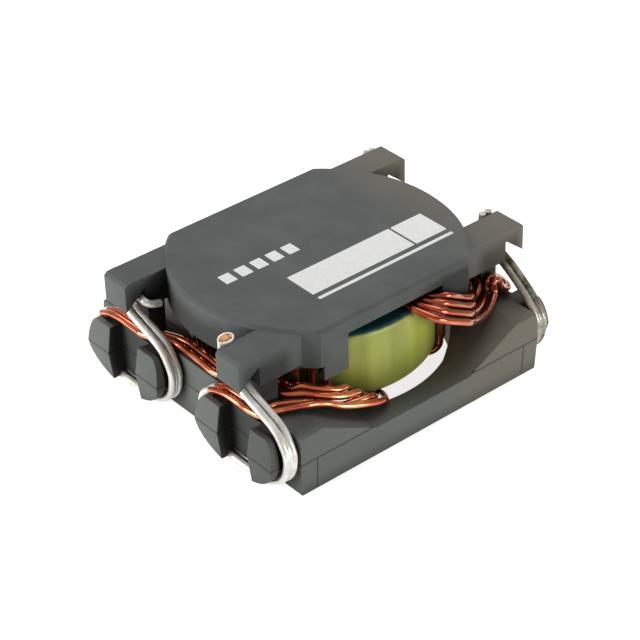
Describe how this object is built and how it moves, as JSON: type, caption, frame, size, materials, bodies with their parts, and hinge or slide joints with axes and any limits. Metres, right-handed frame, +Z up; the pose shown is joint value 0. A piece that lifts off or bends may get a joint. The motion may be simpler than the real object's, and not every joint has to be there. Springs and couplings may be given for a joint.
{
  "type": "smd inductor",
  "caption": "Open-frame surface-mount inductor: a ring core with paired wire windings hung under the cap of a plastic carrier, wire ends looped round its corner terminals.",
  "frame": {"origin": "centre of the footprint, on the board plane under the base frame", "axes": "+X along the length over the terminals, +Y across it, +Z up from the board through the bore of the ring"},
  "size_m": [0.0264, 0.023, 0.0105],
  "materials": {
    "carrier_plastic": "moulded, dark grey, fine matte",
    "core_coating": "epoxy coating, yellow-green, satin",
    "core_face_coating": "epoxy coating, blue-green, satin",
    "enamelled_copper": "clear enamel over copper, glossy",
    "tinned_copper": "solder-dipped, bright",
    "white_ink": "printed, matte"
  },
  "bodies": {
    "root": {"carrier": "carrier_plastic", "ring_core": "core_coating", "first_winding_strand_a": "enamelled_copper", "first_winding_strand_b": "enamelled_copper", "second_winding_strand_a": "enamelled_copper", "second_winding_strand_b": "enamelled_copper"}
  },
  "joints": []
}
